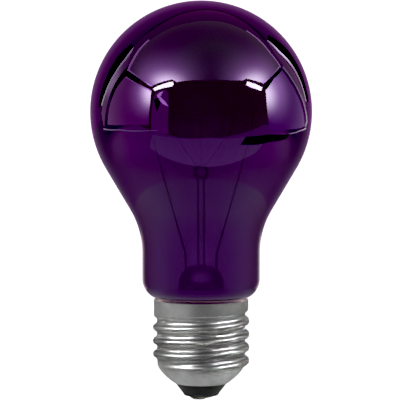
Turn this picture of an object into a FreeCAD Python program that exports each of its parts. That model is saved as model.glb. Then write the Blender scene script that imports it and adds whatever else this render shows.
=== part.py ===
import FreeCAD, Part
import math
import os
import Sketcher

# A pear-shaped violet glass lamp on a rolled screw cap. Millimetres, +Z up, the glass on top.
# The origin is on the axis of the lamp, at the foot of the solder pip that touches the socket.

SIZES = {
    # the blown glass, from the top down
    "globe_diameter": 60.0,
    "cone_angle": 30.5,            # degrees between the cone under the globe and the axis
    "neck_diameter": 32.0,
    "neck_blend_radius": 23.1,     # the hollow curve between cone and neck
    "neck_length": 7.056,          # its straight part
    "neck_foot_height": 33.0,      # where the straight neck ends
    "glass_shoulder_radius": 5.5,
    "mouth_diameter": 22.0,        # the glass tube inside the cap
    "mouth_blend_radius": 1.0,
    "mouth_end_height": 20.5,
    "glass_wall": 0.7,
    # the rolled cap shell
    "rim_height": 27.3,
    "skirt_diameter": 25.7,
    "thread_crest_diameter": 26.3,
    "thread_root_diameter": 24.0,
    "thread_pitch": 3.629,
    "thread_turns": 4,             # crests between the shoulder and the skirt
    "first_crest_height": 7.9,     # at the back, where the thread starts
    "bowl_shoulder_height": 9.35,
    "bowl_radius": 16.0,
    "lip_diameter": 14.8,
    "lip_height": 4.6,
    "sheet_thickness": 0.35,
    # the insulator and the contact
    "insulator_top_height": 8.0,
    "insulator_waist_diameter": 10.5,
    "insulator_waist_height": 2.1,
    "insulator_foot_diameter": 9.8,
    "insulator_foot_height": 1.15,
    "insulator_foot_radius": 0.5,
    "contact_diameter": 6.8,
    "contact_thickness": 0.45,
    "eyelet_diameter": 2.4,
    "eyelet_wall": 0.35,
    "eyelet_height": 5.6,
    "pip_diameter": 4.8,
    "pip_land_diameter": 2.8,      # the flat worn on the foot of the solder
    "pip_offset": 0.6,             # the solder sits a little to the left
    # the glass stem
    "flare_wall": 0.8,
    "flare_radius": 4.2,
    "stem_tube_diameter": 12.0,
    "pinch_start_height": 28.5,
    "pinch_top_height": 36.8,
    "pinch_thickness": 5.2,
    "stem_bore_reach": 1.3,        # how far the tube's bore goes on into the pinch
    "stem_bore_round": 2.3,
    "exhaust_diameter": 4.0,
    "exhaust_bore": 2.4,
    "exhaust_seat_depth": 2.4,     # the seat of the pumping tube, above the end of that bore
    "exhaust_tip_height": 13.5,
    "vent_diameter": 1.2,
    # the mount inside the globe
    "rod_diameter": 2.2,
    "button_diameter": 4.4,
    "button_height": 62.0,
    "filament_height": 77.6,
    "filament_length": 29.0,
    "coil_diameter": 1.3,
    "coil_wire": 0.26,
    "coil_pitch": 1.6,
    "lead_spacing": 8.4,           # between the two wires where they leave the pinch
    "lead_straight": 3.0,          # how far a lead stands straight above the pinch
    "inner_lead_wire": 0.6,
    "seal_wire": 0.4,
    "outer_lead_wire": 0.5,
    "side_wire": 0.3,
    "fuse_wire": 0.3,
    "support_wire": 0.26,
    "support_spacing": 8.5,
    # the cement, the solder at the rim and the running clearances
    "cement_foot_height": 19.2,
    "cement_collar_height": 26.3,
    "rim_solder_diameter": 3.0,
    "rim_solder_inset": 0.375,     # how far the bead's centre lies inside the skirt's face
    "rim_solder_drop": 0.5,        # and below the rim
    "fit_gap": 0.05,               # between pieces that sit in or on one another
    "hook_gap": 0.1,               # between the coil and the hooks that carry it
}

AXIS = FreeCAD.Vector(0, 0, 1)
PLATE_CORNER = 0.15                # share of the contact's thickness left square at its edge
THREAD_ROWS = 14                   # rows of the thread's skin in one pitch
THREAD_COLUMNS = 40                # columns of the thread's skin round the cap
THREAD_START = math.radians(100)   # where the first ridge begins, measured from the back
THREAD_GROWTH = math.radians(130)  # the turn over which it grows to its full height
THREAD_RUNOUT = math.radians(60)   # the turn over which the last hollow fades into the skirt
CREST_STEP = 0.9                   # how quickly the last crest settles to the skirt, in mm
SHOULDER_ROUND = 0.12              # softness of the corner between thread and bowl, in mm


class Size:
    """A length with the sheet formula that gives it, so that both stay the same."""

    def __init__(self, value, text):
        self.value = value
        self.text = text

    def join(self, other, sign, result):
        text = other.text if isinstance(other, Size) else repr(other)
        return Size(result, f"({self.text} {sign} {text})")

    def __add__(self, other):
        return self.join(other, "+", self.value + number(other))

    def __sub__(self, other):
        return self.join(other, "-", self.value - number(other))

    def __mul__(self, other):
        return self.join(other, "*", self.value * number(other))

    def __truediv__(self, other):
        return self.join(other, "/", self.value / number(other))


ZERO = Size(0.0, "0")


def number(size):
    return size.value if isinstance(size, Size) else size


def root(size):
    return Size(math.sqrt(size.value), f"sqrt({size.text})")


def sine(degrees):
    return Size(math.sin(math.radians(degrees.value)), f"sin({degrees.text} * 1 deg)")


def cosine(degrees):
    return Size(math.cos(math.radians(degrees.value)), f"cos({degrees.text} * 1 deg)")


class SheetSizes:
    """The driving dimensions, read back from the sheet under their own names."""

    def __init__(self, sheet):
        for name in SIZES:
            setattr(self, name, Size(float(getattr(sheet, name)), f"sizes.{name}"))


def make_sheet(doc):
    sheet = doc.addObject("Spreadsheet::Sheet", "sizes")
    for row, (name, value) in enumerate(SIZES.items(), 1):
        sheet.set(f"A{row}", name)
        sheet.set(f"B{row}", str(value))
        sheet.setAlias(f"B{row}", name)
    doc.recompute()
    return sheet


def bind(thing, **sizes):
    """Ties properties to the sheet. A double underscore in a name stands for a full stop."""
    for name, size in sizes.items():
        thing.setExpression(name.replace("__", "."), size.text)


class Outline:
    """A closed chain of lines and arcs in a sketch, each corner bound to the sheet."""

    def __init__(self, body, plane, name):
        self.sketch = body.newObject("Sketcher::SketchObject", name)
        origin = [item for item in body.Origin.OriginFeatures if item.Role == plane][0]
        self.sketch.AttachmentSupport = [(origin, "")]
        self.sketch.MapMode = "FlatFace"
        self.corners = []
        self.pieces = []

    def start(self, x, y):
        self.corners.append((x, y))
        return self

    def line(self, x, y):
        self.pieces.append(None)
        return self.start(x, y)

    def arc(self, x, y, radius, left):
        """An arc to x, y with its centre to the left or the right of the way there."""
        self.pieces.append((radius, left))
        return self.start(x, y)

    def close(self):
        self.pieces.append(None)
        ends = []
        for index, piece in enumerate(self.pieces):
            head = self.corners[index]
            tail = self.corners[(index + 1) % len(self.corners)]
            ends.append(self.add_piece(piece, head, tail))
        for index, (edge, head, _) in enumerate(ends):
            before, _, tail = ends[index - 1]
            self.sketch.addConstraint(Sketcher.Constraint("Coincident", before, tail, edge, head))
            self.pin(index, edge, head)
        return self.sketch

    def add_piece(self, piece, head, tail):
        first = FreeCAD.Vector(number(head[0]), number(head[1]), 0)
        last = FreeCAD.Vector(number(tail[0]), number(tail[1]), 0)
        if piece is None:
            return self.sketch.addGeometry(Part.LineSegment(first, last), False), 1, 2
        radius, left = piece
        middle = (first + last) / 2
        half = (last - first) / 2
        side = FreeCAD.Vector(-half.y, half.x, 0) * (1 if left else -1)
        side.normalize()
        centre = middle + side * math.sqrt(number(radius) ** 2 - half.Length ** 2)
        angles = [math.atan2(end.y - centre.y, end.x - centre.x) for end in (first, last)]
        if not left:
            angles.reverse()
        circle = Part.Circle(centre, AXIS, number(radius))
        edge = self.sketch.addGeometry(Part.ArcOfCircle(circle, *angles), False)
        name = f"radius_{edge}"
        self.constrain(Sketcher.Constraint("Radius", edge, number(radius)), name, radius)
        return (edge, 1, 2) if left else (edge, 2, 1)

    def pin(self, index, edge, head):
        for kind, size in zip(("DistanceX", "DistanceY"), self.corners[index]):
            if number(size) == 0:
                line = -2 if kind == "DistanceX" else -1
                self.sketch.addConstraint(Sketcher.Constraint("PointOnObject", edge, head, line))
            else:
                rule = Sketcher.Constraint(kind, -1, 1, edge, head, number(size))
                self.constrain(rule, f"{kind}_{index}", size)

    def constrain(self, rule, name, size):
        place = self.sketch.addConstraint(rule)
        self.sketch.renameConstraint(place, name)
        if isinstance(size, Size):
            self.sketch.setExpression(f"Constraints.{name}", size.text)


def turned(doc, label, draw):
    """A body turned about the lamp's axis from the outline that draw makes."""
    body = doc.addObject("PartDesign::Body", label)
    sketch = draw(Outline(body, "XZ_Plane", f"{label}_outline"))
    feature = body.newObject("PartDesign::Revolution", f"{label}_turned")
    feature.Profile = sketch
    feature.ReferenceAxis = (sketch, ["V_Axis"])
    feature.Angle = 360
    return body


def cylinder(doc, label, radius, height, foot, x=None):
    """An upright cylinder that stands at height foot, moved sideways by x."""
    rod = doc.addObject("Part::Cylinder", label)
    bind(rod, Radius=radius, Height=height, Placement__Base__z=foot)
    if x is not None:
        bind(rod, Placement__Base__x=x)
    return rod


def cut(doc, label, base, tools):
    """The base less each of the tools in turn. The last cut carries the piece's own label."""
    for index, tool in enumerate(tools, 1):
        name = label if index == len(tools) else f"{label}_cut_{index}"
        result = doc.addObject("Part::Cut", name)
        result.Base = base
        result.Tool = tool
        base = result
    return base


def fixed(doc, label, shape, placement=FreeCAD.Placement()):
    """A piece whose form is worked out here from the sheet's sizes."""
    feature = doc.addObject("Part::Feature", label)
    feature.Shape = shape
    feature.Placement = placement
    return feature


# The glass envelope

def glass_side(size, wall):
    """The corners and arcs of one side of the glass, the given depth inside its surface."""
    lean_cos = cosine(size.cone_angle)
    lean_sin = sine(size.cone_angle)
    globe = size.globe_diameter / 2
    neck = size.neck_diameter / 2
    blend = size.neck_blend_radius
    blend_x = neck + blend
    blend_z = size.neck_foot_height + size.neck_length
    tangent_x = globe * lean_cos
    tangent_z = blend_z - ((blend_x - tangent_x) * lean_cos - blend) / lean_sin
    centre = tangent_z + globe * lean_sin
    shoulder_x = neck - size.glass_shoulder_radius
    mouth = size.mouth_diameter / 2
    curl_x = mouth + size.mouth_blend_radius
    reach = size.glass_shoulder_radius + size.mouth_blend_radius
    across = curl_x - shoulder_x
    drop = root(reach * reach - across * across)
    shoulder = size.glass_shoulder_radius - wall
    return {
        "top": (ZERO, centre + globe - wall),
        "globe_end": ((globe - wall) * lean_cos, centre - (globe - wall) * lean_sin),
        "blend_start": (blend_x - (blend + wall) * lean_cos, blend_z + (blend + wall) * lean_sin),
        "neck_top": (neck - wall, blend_z),
        "neck_foot": (neck - wall, size.neck_foot_height),
        "curl": (shoulder_x + shoulder * across / reach,
                 size.neck_foot_height - shoulder * drop / reach),
        "mouth_top": (mouth - wall, size.neck_foot_height - drop),
        "mouth_end": (mouth - wall, size.mouth_end_height),
        "globe": globe - wall,
        "blend": blend + wall,
        "shoulder": shoulder,
        "curl_radius": size.mouth_blend_radius + wall,
    }


def glass_bulb(doc, size):
    outer = glass_side(size, ZERO)
    inner = glass_side(size, size.glass_wall)

    def draw(outline):
        outline.start(*outer["top"])
        outline.arc(*outer["globe_end"], outer["globe"], False)
        outline.line(*outer["blend_start"])
        outline.arc(*outer["neck_top"], outer["blend"], True)
        outline.line(*outer["neck_foot"])
        outline.arc(*outer["curl"], outer["shoulder"], False)
        outline.arc(*outer["mouth_top"], outer["curl_radius"], True)
        outline.line(*outer["mouth_end"])
        outline.line(*inner["mouth_end"])
        outline.line(*inner["mouth_top"])
        outline.arc(*inner["curl"], inner["curl_radius"], False)
        outline.arc(*inner["neck_foot"], inner["shoulder"], True)
        outline.line(*inner["neck_top"])
        outline.arc(*inner["blend_start"], inner["blend"], False)
        outline.line(*inner["globe_end"])
        outline.arc(*inner["top"], inner["globe"], True)
        return outline.close()

    return turned(doc, "glass_bulb", draw)


# The rolled screw shell

def soft_step(share):
    """Goes from 0 to 1 as the share does, level at both ends."""
    share = max(0.0, min(1.0, share))
    return share * share * (3 - 2 * share)


def knuckle(turns, pitch, height):
    """The height of the round thread, from 0 in a hollow to 1 on a crest at whole turns."""
    half = height / 2
    quarter = pitch / 4
    radius = (quarter ** 2 + half ** 2) / (2 * half)
    away = abs(turns - round(turns)) * pitch
    if away < quarter:
        return (height - radius + math.sqrt(radius ** 2 - away ** 2)) / height
    away = pitch / 2 - away
    return (radius - math.sqrt(radius ** 2 - away ** 2)) / height


def bowl_centre(size):
    """The centre of the bowl's arc, from the lip and the shoulder that it joins."""
    lip = FreeCAD.Vector(size.lip_diameter.value / 2, 0, size.lip_height.value)
    top = FreeCAD.Vector(size.thread_root_diameter.value / 2, 0, size.bowl_shoulder_height.value)
    half = (top - lip) / 2
    inward = FreeCAD.Vector(-half.z, 0, half.x).normalize()
    reach = math.sqrt(size.bowl_radius.value ** 2 - half.Length ** 2)
    return (lip + top) / 2 + inward * reach


def shell_radius(size, height, turn):
    """The outer radius of the shell at a height and at a turn from the back."""
    core = size.thread_root_diameter.value / 2
    rise = size.thread_crest_diameter.value / 2 - core
    skirt = (size.skirt_diameter.value / 2 - core) / rise
    pitch = size.thread_pitch.value
    turns = (height - size.first_crest_height.value) / pitch - turn / (2 * math.pi)
    past_last = turns - size.thread_turns.value
    left = soft_step((2 * math.pi - turn) / THREAD_RUNOUT)
    share = knuckle(turns, pitch, rise)
    if turns < -0.5:
        share = 0.0
    elif turns < 0.5:
        share *= soft_step((turn - THREAD_START) / THREAD_GROWTH)
    elif past_last >= 0:
        share = skirt + (1 - skirt) * left * (1 - soft_step(past_last * pitch / CREST_STEP))
    elif past_last > -1:
        plain = skirt + (1 - skirt) * (1 - soft_step((past_last + 1) * pitch / CREST_STEP))
        share = plain * (1 - left) + share * left
    centre = bowl_centre(size)
    depth = max(centre.z - height, 0.0)
    bowl = centre.x + math.sqrt(size.bowl_radius.value ** 2 - depth ** 2)
    base = (core + bowl) / 2 - math.hypot((core - bowl) / 2, SHOULDER_ROUND)
    return base + rise * share


def shell_skin(size, depth):
    """The skin of the shell, the given depth inside the outer one, as one smooth surface."""
    low = size.lip_height.value
    high = size.rim_height.value
    rows = round((high - low) / size.thread_pitch.value * THREAD_ROWS)
    step = 1e-4
    grid = []
    for row in range(rows + 1):
        height = low + (high - low) * row / rows
        ring = []
        for column in range(THREAD_COLUMNS + 1):
            turn = 2 * math.pi * column / THREAD_COLUMNS
            radius = shell_radius(size, height, turn)
            above = shell_radius(size, min(height + step, high), turn)
            below = shell_radius(size, max(height - step, low), turn)
            slope = (above - below) / (min(height + step, high) - max(height - step, low))
            length = math.hypot(1, slope)
            angle = turn + math.pi / 2
            reach = radius - depth / length
            ring.append(FreeCAD.Vector(reach * math.cos(angle), reach * math.sin(angle),
                                       height + depth * slope / length))
        ring[-1] = ring[0]
        grid.append(ring)
    surface = Part.BSplineSurface()
    surface.interpolate(grid)
    return surface.toShape()


def rings(skin):
    """The lowest and the highest closed edge of a skin."""
    closed = [edge for edge in skin.Edges if edge.isClosed()]
    closed.sort(key=lambda edge: edge.BoundBox.ZMin)
    return closed[0], closed[-1]


def screw_shell(doc, size):
    outer = shell_skin(size, 0)
    inner = shell_skin(size, size.sheet_thickness.value)
    edges = [Part.makeRuledSurface(*pair) for pair in zip(rings(outer), rings(inner))]
    shell = Part.makeShell([outer, inner] + edges)
    shell.sewShape()
    solid = Part.makeSolid(Part.Shell(shell.Faces))
    if solid.Volume < 0:
        solid.reverse()
    return fixed(doc, "screw_shell", solid)


# The insulator, the contact and its solder

def base_insulator(doc, size):
    """Black glass moulded into the bowl, with the eyelet's hole down its middle."""
    centre = bowl_centre(size)
    reach = size.bowl_radius - size.sheet_thickness - size.fit_gap
    hole = size.eyelet_diameter / 2 + size.fit_gap
    foot = size.insulator_foot_diameter / 2
    corner = size.insulator_foot_radius

    def arc_point(z):
        return centre.x + math.sqrt(reach.value ** 2 - (z - centre.z) ** 2)

    lip_share = (size.lip_height.value - centre.z) / size.bowl_radius.value
    inside_lip = centre.z + reach.value * lip_share

    def draw(outline):
        outline.start(hole, size.insulator_foot_height)
        outline.line(foot - corner, size.insulator_foot_height)
        outline.arc(foot, size.insulator_foot_height + corner, corner, True)
        outline.line(size.insulator_waist_diameter / 2, size.insulator_waist_height)
        outline.line(arc_point(inside_lip), size.lip_height)
        outline.line(arc_point(inside_lip), inside_lip)
        outline.arc(arc_point(size.insulator_top_height.value), size.insulator_top_height,
                    reach, True)
        outline.line(hole, size.insulator_top_height)
        return outline.close()

    return turned(doc, "base_insulator", draw)


def centre_contact(doc, size):
    """A brass plate with a short tube that is set in the insulator."""
    bore = size.eyelet_diameter / 2 - size.eyelet_wall
    seat = size.insulator_foot_height - size.fit_gap
    face = seat - size.contact_thickness
    edge = size.contact_diameter / 2
    corner = size.contact_thickness * (1 - PLATE_CORNER)

    def draw(outline):
        outline.start(bore, face)
        outline.line(edge - corner, face)
        outline.arc(edge, face + corner, corner, True)
        outline.line(edge, seat)
        outline.line(size.eyelet_diameter / 2, seat)
        outline.line(size.eyelet_diameter / 2, size.eyelet_height)
        outline.line(bore, size.eyelet_height)
        return outline.close()

    return turned(doc, "centre_contact", draw)


def centre_solder(doc, size, wire):
    """A low pip with a flat foot, which holds the end of the fuse wire."""
    face = size.insulator_foot_height - size.fit_gap - size.contact_thickness
    pip = size.pip_diameter / 2
    land = size.pip_land_diameter / 2
    across = pip - land
    dome = (across * across + face * face) / (face * 2)

    def draw(outline):
        outline.start(ZERO, ZERO)
        outline.line(land, ZERO)
        outline.arc(pip, face, dome, True)
        outline.line(ZERO, face)
        return outline.close()

    dome_body = turned(doc, "pip", draw)
    bind(dome_body, Placement__Base__x=size.pip_offset * -1)
    return cut(doc, "centre_solder", dome_body, [wire])


def side_solder(doc, size, wire):
    """The bead at the back of the rim, which holds the end of the side lead."""
    radius = size.rim_solder_diameter / 2
    skirt = size.skirt_diameter / 2 + size.fit_gap
    bead = doc.addObject("Part::Sphere", "bead")
    bind(bead, Radius=radius, Placement__Base__y=skirt - size.rim_solder_inset,
         Placement__Base__z=size.rim_height - size.rim_solder_drop)
    skirt_core = cylinder(doc, "skirt_under_bead", skirt, size.rim_height + size.fit_gap, ZERO)
    top = cylinder(doc, "top_of_bead", skirt * 2, size.neck_foot_height,
                   size.rim_height + size.side_wire + size.fit_gap * 2)
    inside = cylinder(doc, "inside_of_bead", skirt - size.sheet_thickness,
                      size.neck_foot_height, ZERO)
    return cut(doc, "side_solder", bead, [skirt_core, top, inside, wire])


# The cement and the stem

def bore_end(size):
    """The height at which the bore of the stem ends, in the pinch."""
    return size.pinch_start_height + size.stem_bore_reach


def exhaust_seat(size):
    """The height to which the seat of the pumping tube goes up in the pinch."""
    return bore_end(size) + size.exhaust_seat_depth


def capping_cement(doc, size, wire):
    """The ring between the glass tube and the shell, with a groove for the side lead."""
    inside = size.mouth_diameter / 2 + size.fit_gap
    bore = size.thread_root_diameter / 2 - size.sheet_thickness - size.fit_gap * 2
    collar = size.skirt_diameter / 2 - size.sheet_thickness - size.fit_gap
    reach = size.glass_shoulder_radius + size.mouth_blend_radius
    across = size.mouth_diameter / 2 + reach - size.neck_diameter / 2
    top = size.neck_foot_height - root(reach * reach - across * across)

    def draw(outline):
        outline.start(inside, size.cement_foot_height)
        outline.line(bore, size.cement_foot_height)
        outline.line(bore, size.cement_collar_height)
        outline.line(collar, size.cement_collar_height)
        outline.line(collar, top)
        outline.line(inside, top)
        return outline.close()

    ring = turned(doc, "cement_ring", draw)
    return cut(doc, "capping_cement", ring, [wire])


def stem_flare(doc, size):
    """The flared tube sealed to the mouth of the glass, pinched flat and solid at its top."""
    rim = size.mouth_diameter / 2
    tube = size.stem_tube_diameter / 2
    bend = size.flare_radius
    wall = size.flare_wall
    seam = size.mouth_end_height
    bore = tube - wall
    round_off = size.stem_bore_round
    seat = size.exhaust_diameter / 2 + size.fit_gap
    bore_top = bore_end(size)
    seat_top = exhaust_seat(size)

    def draw_flare(outline):
        outline.start(ZERO, seam + bend)
        outline.line(ZERO, size.pinch_start_height)
        outline.line(tube, size.pinch_start_height)
        outline.line(tube, seam + bend)
        outline.arc(tube + bend, seam, bend, True)
        outline.line(rim, seam)
        outline.line(rim, seam - wall)
        outline.line(tube + bend, seam - wall)
        outline.arc(bore, seam + bend, bend + wall, False)
        return outline.close()

    def draw_bore(outline):
        outline.start(ZERO, seam + bend)
        outline.line(bore, seam + bend)
        outline.line(bore, bore_top - round_off)
        outline.arc(bore - round_off, bore_top, round_off, True)
        outline.line(seat, bore_top)
        outline.line(seat, seat_top)
        outline.line(ZERO, seat_top)
        return outline.close()

    span = size.pinch_top_height - size.pinch_start_height
    flat = size.pinch_thickness / 2
    # from the pinch's foot to its tip: the share of its height, its width as a share of the
    # tube's, and its thickness as a share of the pinch's, or none where it is still round
    shares = ((0.0, 1.0, None), (0.42, 1.02, 1.15), (0.78, 0.8, 0.95), (0.95, 0.42, 0.62),
              (1.0, 0.16, 0.3))
    sections = []
    for place, wide, thick in shares:
        ring = doc.addObject("Part::Ellipse", "pinch_section")
        bind(ring, Placement__Base__z=size.pinch_start_height + span * place)
        bind(ring, MajorRadius=tube * wide)
        bind(ring, MinorRadius=tube * wide if thick is None else flat * thick)
        sections.append(ring)
    pinch = doc.addObject("Part::Loft", "pinch")
    pinch.Sections = sections
    pinch.Solid = True
    flare = turned(doc, "flare", draw_flare)
    whole = doc.addObject("Part::Fuse", "stem_blank")
    whole.Base = flare
    whole.Tool = pinch
    hollow = turned(doc, "stem_bore", draw_bore)
    vent = doc.addObject("Part::Cylinder", "vent")
    sideways = FreeCAD.Rotation(FreeCAD.Vector(1, 0, 0), -90)
    vent.Placement = FreeCAD.Placement(FreeCAD.Vector(), sideways)
    bind(vent, Radius=size.vent_diameter / 2, Height=tube,
         Placement__Base__z=seat_top - size.vent_diameter / 2 - size.fit_gap)
    holes = [cylinder(doc, "lead_hole", size.inner_lead_wire / 2 + size.fit_gap,
                      span + span, size.pinch_start_height - span / 2, size.lead_spacing / 2 * side)
             for side in (-1, 1)]
    return cut(doc, "stem_flare", whole, [hollow, vent] + holes)


def exhaust_tube(doc, size):
    """The pumping tube, open at the pinch and melted shut at its foot."""
    outer = size.exhaust_diameter / 2
    inner = size.exhaust_bore / 2
    vent_foot = exhaust_seat(size) - size.vent_diameter - size.fit_gap * 3

    def draw(outline):
        outline.start(ZERO, size.exhaust_tip_height)
        outline.arc(outer, size.exhaust_tip_height + outer, outer, True)
        outline.line(outer, vent_foot)
        outline.line(inner, vent_foot)
        outline.line(inner, size.exhaust_tip_height + outer)
        outline.arc(ZERO, size.exhaust_tip_height + outer - inner, inner, False)
        return outline.close()

    return turned(doc, "exhaust_tube", draw)


# The mount: the rod, the wires and the coil

def arbor_rod(doc, size, wires):
    """The glass rod on the pinch, with the button that the support wires are set in."""
    rod = size.rod_diameter / 2
    button = size.button_diameter / 2
    neck = root(button * button - rod * rod)

    def draw(outline):
        outline.start(ZERO, size.pinch_top_height + size.fit_gap)
        outline.line(rod, size.pinch_top_height + size.fit_gap)
        outline.line(rod, size.button_height - neck)
        outline.arc(button, size.button_height, button, True)
        outline.arc(ZERO, size.button_height + button, button, True)
        return outline.close()

    return cut(doc, "arbor_rod", turned(doc, "rod", draw), wires)


def bent_wire(points, radius, bends):
    """A round wire along straight runs, each corner rounded by its bend or what fits."""
    points = [FreeCAD.Vector(*point) for point in points]
    edges = []
    here = points[0]
    for before, corner, after, bend in zip(points, points[1:], points[2:], bends):
        to_start = (before - corner).normalize()
        to_end = (after - corner).normalize()
        half = math.pi / 2 - to_start.getAngle(to_end) / 2
        shorter = min((before - corner).Length, (after - corner).Length)
        setback = min(bend * math.tan(half), shorter * 0.49)
        first = corner + to_start * setback
        last = corner + to_end * setback
        inward = (to_start + to_end).normalize()
        arc_radius = setback / math.tan(half)
        middle = corner + inward * (arc_radius / math.cos(half) - arc_radius)
        edges.append(Part.LineSegment(here, first).toShape())
        edges.append(Part.Arc(first, middle, last).toShape())
        here = last
    edges.append(Part.LineSegment(here, points[-1]).toShape())
    path = Part.Wire(edges)
    circle = Part.Circle(points[0], points[1] - points[0], radius)
    return path.makePipeShell([Part.Wire(circle.toShape())], True, False)


def hook_over(x, coil, wire, gap, height):
    """The points of a wire that comes up behind the coil and goes over it."""
    side = coil / 2 + wire / 2 + gap
    return [(x, side, height - 3 * coil), (x, side, height + side), (x, -side, height + side),
            (x, -side, height - coil / 2)]


def hook_bends(hook):
    """One gentle bend before the hook, then the two that take it over the coil."""
    side = hook[0][1]
    return [2 * side, side, side]


def seal_top(size):
    """The height in the pinch at which a seal wire ends and an inner lead begins."""
    return exhaust_seat(size) + size.vent_diameter


def inner_lead(doc, size, label, side):
    spacing = side * size.lead_spacing.value / 2
    foot = seal_top(size).value
    wire = size.inner_lead_wire.value
    reach = side * (size.filament_length.value / 2 - wire)
    bend_height = size.pinch_top_height.value + size.lead_straight.value
    hook = hook_over(reach, size.coil_diameter.value, wire, size.hook_gap.value,
                     size.filament_height.value)
    points = [(spacing, 0, foot), (spacing, 0, bend_height)] + hook
    bends = [size.lead_straight.value] + hook_bends(hook)
    return fixed(doc, label, bent_wire(points, wire / 2, bends))


def seal_wire(doc, size, label, side):
    """The short wire fused in the glass, between the inner and the outer lead."""
    foot = bore_end(size)
    return cylinder(doc, label, size.seal_wire / 2, seal_top(size) - foot, foot,
                    size.lead_spacing / 2 * side)


def side_lead(doc, size):
    """From the left seal wire down the stem, under its flare and up to the rim at the back."""
    wire = size.side_wire.value
    spacing = -size.lead_spacing.value / 2
    top = bore_end(size).value
    flare_foot = size.mouth_end_height.value - size.flare_wall.value
    low = flare_foot - 2 * wire - size.fit_gap.value
    glass = size.mouth_diameter.value / 2
    shell = size.thread_root_diameter.value / 2 - size.sheet_thickness.value
    middle = (glass + shell) / 2
    collar = size.cement_collar_height.value
    skirt = size.skirt_diameter.value / 2
    inside = skirt - size.sheet_thickness.value - wire / 2 - 1.5 * size.fit_gap.value
    over = size.rim_height.value + wire / 2 + size.fit_gap.value
    points = [(spacing, 0, top), (spacing, 0, low), (0, middle, low), (0, middle, collar - 2 * wire),
              (0, inside, collar + wire), (0, inside, over), (0, skirt + wire, over)]
    bends = [4 * wire] * 4 + [wire]
    return fixed(doc, "side_lead", bent_wire(points, wire / 2, bends))


def contact_lead(doc, size):
    """The lead from the right seal wire down into the cap."""
    foot = size.mouth_end_height
    return cylinder(doc, "contact_lead", size.outer_lead_wire / 2, bore_end(size) - foot, foot,
                    size.lead_spacing / 2)


def fuse_wire(doc, size):
    """The thin wire that goes on from the contact lead, down the eyelet into the solder."""
    spacing = size.lead_spacing.value / 2
    aside = size.exhaust_diameter.value / 2
    tip = size.exhaust_tip_height.value
    points = [(spacing, 0, size.mouth_end_height.value), (spacing, 0, tip + aside),
              (0, 0, tip - 2 * aside), (0, 0, size.contact_thickness.value)]
    return fixed(doc, "fuse_wire", bent_wire(points, size.fuse_wire.value / 2, [2 * aside] * 2))


def support_wire(doc, size, label, side):
    """A hook that stands in the button and carries the coil."""
    wire = size.support_wire.value
    reach = side * size.support_spacing.value
    button = size.button_height.value
    hook = hook_over(reach, size.coil_diameter.value, wire, size.hook_gap.value,
                     size.filament_height.value)
    foot = FreeCAD.Vector(hook[0]) - FreeCAD.Vector(0, 0, button)
    foot = foot.normalize() * (size.button_diameter.value / 4)
    points = [(foot.x, foot.y, foot.z + button)] + hook
    return fixed(doc, label, bent_wire(points, wire / 2, hook_bends(hook)))


def filament(doc, size):
    """The coil, which lies along X under the hooks."""
    radius = (size.coil_diameter.value - size.coil_wire.value) / 2
    pitch = size.coil_pitch.value
    length = size.filament_length.value
    line = Part.makeHelix(pitch, length, radius)
    start = FreeCAD.Vector(radius, 0, 0)
    along = FreeCAD.Vector(0, radius, pitch / (2 * math.pi))
    section = Part.Wire(Part.Circle(start, along, size.coil_wire.value / 2).toShape())
    coil = Part.Wire(line.Edges).makePipeShell([section], True, True)
    foot = FreeCAD.Vector(-length / 2, 0, size.filament_height.value)
    lying = FreeCAD.Rotation(FreeCAD.Vector(0, 1, 0), 90)
    return fixed(doc, "filament", coil, FreeCAD.Placement(foot, lying))


def make_pieces(doc, size):
    side = side_lead(doc, size)
    fuse = fuse_wire(doc, size)
    supports = [support_wire(doc, size, f"support_wire_{name}", way)
                for name, way in (("left", -1), ("middle", 0), ("right", 1))]
    pieces = [glass_bulb(doc, size), screw_shell(doc, size), base_insulator(doc, size),
              centre_contact(doc, size), centre_solder(doc, size, fuse),
              side_solder(doc, size, side), capping_cement(doc, size, side),
              stem_flare(doc, size), exhaust_tube(doc, size), arbor_rod(doc, size, supports),
              contact_lead(doc, size), fuse, side, filament(doc, size)]
    for name, way in (("left", -1), ("right", 1)):
        pieces.append(inner_lead(doc, size, f"inner_lead_{name}", way))
        pieces.append(seal_wire(doc, size, f"seal_wire_{name}", way))
    return pieces + supports


def main():
    doc = FreeCAD.newDocument("violet_lamp")
    pieces = make_pieces(doc, SheetSizes(make_sheet(doc)))
    doc.recompute()
    for item in doc.Objects:
        if "Invalid" in item.State or "Error" in item.State:
            raise RuntimeError(f"{item.Label} failed: {item.State}")
    for piece in pieces:
        if piece.Shape.isNull() or not piece.Shape.isValid():
            raise RuntimeError(f"{piece.Label} has no valid shape")
    os.makedirs("parts", exist_ok=True)
    for piece in pieces:
        piece.Shape.exportStep(f"parts/{piece.Label}.step")
        print(piece.Label, len(piece.Shape.Solids), round(piece.Shape.Volume, 3))


main()
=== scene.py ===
"""The looks of a black light lamp: violet glass on a rolled screw cap, in a light tent."""

import math

import bmesh
import bpy
from mathutils import Matrix, Vector


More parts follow.
